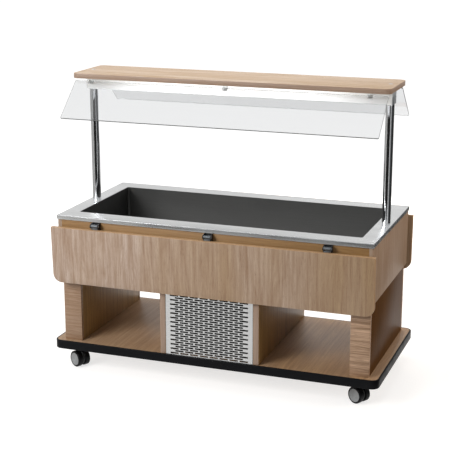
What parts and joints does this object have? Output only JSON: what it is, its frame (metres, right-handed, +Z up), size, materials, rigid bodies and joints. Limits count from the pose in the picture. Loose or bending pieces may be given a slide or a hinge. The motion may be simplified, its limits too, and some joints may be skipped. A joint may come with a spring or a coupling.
{
  "type": "mobile salad bar",
  "caption": "Refrigerated buffet trolley on swivel casters with oak-look body, cold well, hinged tray slides, chrome posts, lit canopy and sloped glass guards.",
  "frame": {"origin": "on the floor under the middle of the bar", "axes": "+X along the length, -Y towards the front serving side, +Z up"},
  "size_m": [1.52, 0.7746, 1.34],
  "materials": {
    "oak_laminate": "laminated oak decor",
    "black_bumper": "moulded edging",
    "satin_steel": "satin stainless",
    "galvanised_steel": "zinc-plated",
    "black_enamel": "powder coat",
    "aluminium_fins": "mill finish",
    "grey_plastic": "moulded",
    "black_plastic": "moulded",
    "insulation": "rigid foam",
    "chrome": "polished",
    "opal_acrylic": "opal, lit from inside",
    "clear_glass": "toughened, clear",
    "caster_wheel": "tread on a grey hub"
  },
  "bodies": {
    "root": {"base_board": "oak_laminate", "column_left_outer": "oak_laminate", "column_left_inner": "oak_laminate", "column_right_outer": "oak_laminate", "column_right_inner": "oak_laminate", "column_edges": "oak_laminate", "partition_left": "oak_laminate", "partition_right": "oak_laminate", "apron_front": "oak_laminate", "apron_rear": "oak_laminate", "apron_left": "oak_laminate", "apron_right": "oak_laminate", "well_deck": "oak_laminate", "canopy_board": "oak_laminate", "base_bumper": "black_bumper", "grille_front": "satin_steel", "grille_rear": "satin_steel", "compressor": "black_enamel", "condenser": "aluminium_fins", "fan_shroud": "galvanised_steel", "fan_motor": "black_enamel", "control_plate": "black_plastic", "cable_gland": "black_plastic", "well_tub": "satin_steel", "well_foam": "insulation", "drain_spout": "grey_plastic", "top_frame": "satin_steel", "post_left": "chrome", "post_right": "chrome", "lamp_housing": "satin_steel", "lamp_diffusers": "opal_acrylic", "lamp_tubes": "opal_acrylic", "glass_front": "clear_glass", "glass_rear": "clear_glass", "glass_clips": "satin_steel", "hinge_brackets": "black_enamel", "caster_plates": "galvanised_steel"},
    "fan": {"fan_rotor": "grey_plastic"},
    "front_flap": {"flap_front": "oak_laminate", "flap_front_hinges": "galvanised_steel"},
    "rear_flap": {"flap_rear": "oak_laminate", "flap_rear_hinges": "galvanised_steel"},
    "main_rocker": {"main_switch": "black_plastic"},
    "lamp_rocker": {"lamp_switch": "black_plastic"},
    "caster_front_left": {"caster_front_left_housing": "black_plastic", "caster_front_left_axle": "galvanised_steel"},
    "caster_front_left_wheel_a_turn": {"caster_front_left_wheel_a": "caster_wheel"},
    "caster_front_left_wheel_b_turn": {"caster_front_left_wheel_b": "caster_wheel"},
    "caster_front_right": {"caster_front_right_housing": "black_plastic", "caster_front_right_axle": "galvanised_steel"},
    "caster_front_right_wheel_a_turn": {"caster_front_right_wheel_a": "caster_wheel"},
    "caster_front_right_wheel_b_turn": {"caster_front_right_wheel_b": "caster_wheel"},
    "caster_rear_left": {"caster_rear_left_housing": "black_plastic", "caster_rear_left_axle": "galvanised_steel"},
    "caster_rear_left_wheel_a_turn": {"caster_rear_left_wheel_a": "caster_wheel"},
    "caster_rear_left_wheel_b_turn": {"caster_rear_left_wheel_b": "caster_wheel"},
    "caster_rear_right": {"caster_rear_right_housing": "black_plastic", "caster_rear_right_axle": "galvanised_steel"},
    "caster_rear_right_wheel_a_turn": {"caster_rear_right_wheel_a": "caster_wheel"},
    "caster_rear_right_wheel_b_turn": {"caster_rear_right_wheel_b": "caster_wheel"}
  },
  "joints": [
    {"name": "front_flap_hinge", "type": "hinge", "parent": "root", "child": "front_flap", "pos_m": [0, -0.366, 0.697], "axis": [-1, 0, 0], "range_deg": [0, 92.5]},
    {"name": "rear_flap_hinge", "type": "hinge", "parent": "root", "child": "rear_flap", "pos_m": [0, 0.366, 0.697], "axis": [1, 0, 0], "range_deg": [0, 92.5]},
    {"name": "fan_spin", "type": "hinge", "parent": "root", "child": "fan", "pos_m": [0, -0.223, 0.264], "axis": [0, 1, 0], "continuous": true},
    {"name": "main_switch_rock", "type": "hinge", "parent": "root", "child": "main_rocker", "pos_m": [0.04, 0.346, 0.385], "axis": [-1, 0, 0], "range_deg": [0, 14]},
    {"name": "lamp_switch_rock", "type": "hinge", "parent": "root", "child": "lamp_rocker", "pos_m": [0.078, 0.346, 0.385], "axis": [-1, 0, 0], "range_deg": [0, 14]},
    {"name": "caster_front_left_swivel", "type": "hinge", "parent": "root", "child": "caster_front_left", "pos_m": [-0.677, -0.281, 0.097], "axis": [0, 0, 1], "continuous": true},
    {"name": "caster_front_left_wheel_a_spin", "type": "hinge", "parent": "caster_front_left", "child": "caster_front_left_wheel_a_turn", "pos_m": [-0.65204, -0.27311, 0.0375], "axis": [0.4848, 0.8746, 0], "continuous": true},
    {"name": "caster_front_left_wheel_b_spin", "type": "hinge", "parent": "caster_front_left", "child": "caster_front_left_wheel_b_turn", "pos_m": [-0.67047, -0.30634, 0.0375], "axis": [0.4848, 0.8746, 0], "continuous": true},
    {"name": "caster_front_right_swivel", "type": "hinge", "parent": "root", "child": "caster_front_right", "pos_m": [0.677, -0.281, 0.097], "axis": [0, 0, 1], "continuous": true},
    {"name": "caster_front_right_wheel_a_spin", "type": "hinge", "parent": "caster_front_right", "child": "caster_front_right_wheel_a_turn", "pos_m": [0.65204, -0.28889, 0.0375], "axis": [-0.4848, -0.8746, 0], "continuous": true},
    {"name": "caster_front_right_wheel_b_spin", "type": "hinge", "parent": "caster_front_right", "child": "caster_front_right_wheel_b_turn", "pos_m": [0.67047, -0.25566, 0.0375], "axis": [-0.4848, -0.8746, 0], "continuous": true},
    {"name": "caster_rear_left_swivel", "type": "hinge", "parent": "root", "child": "caster_rear_left", "pos_m": [-0.677, 0.281, 0.097], "axis": [0, 0, 1], "continuous": true},
    {"name": "caster_rear_left_wheel_a_spin", "type": "hinge", "parent": "caster_rear_left", "child": "caster_rear_left_wheel_a_turn", "pos_m": [-0.66872, 0.30583, 0.0375], "axis": [-0.4226, 0.9063, 0], "continuous": true},
    {"name": "caster_rear_left_wheel_b_spin", "type": "hinge", "parent": "caster_rear_left", "child": "caster_rear_left_wheel_b_turn", "pos_m": [-0.65266, 0.27139, 0.0375], "axis": [-0.4226, 0.9063, 0], "continuous": true},
    {"name": "caster_rear_right_swivel", "type": "hinge", "parent": "root", "child": "caster_rear_right", "pos_m": [0.677, 0.281, 0.097], "axis": [0, 0, 1], "continuous": true},
    {"name": "caster_rear_right_wheel_a_spin", "type": "hinge", "parent": "caster_rear_right", "child": "caster_rear_right_wheel_a_turn", "pos_m": [0.65359, 0.2693, 0.0375], "axis": [-0.342, -0.9397, 0], "continuous": true},
    {"name": "caster_rear_right_wheel_b_spin", "type": "hinge", "parent": "caster_rear_right", "child": "caster_rear_right_wheel_b_turn", "pos_m": [0.66658, 0.30501, 0.0375], "axis": [-0.342, -0.9397, 0], "continuous": true}
  ]
}
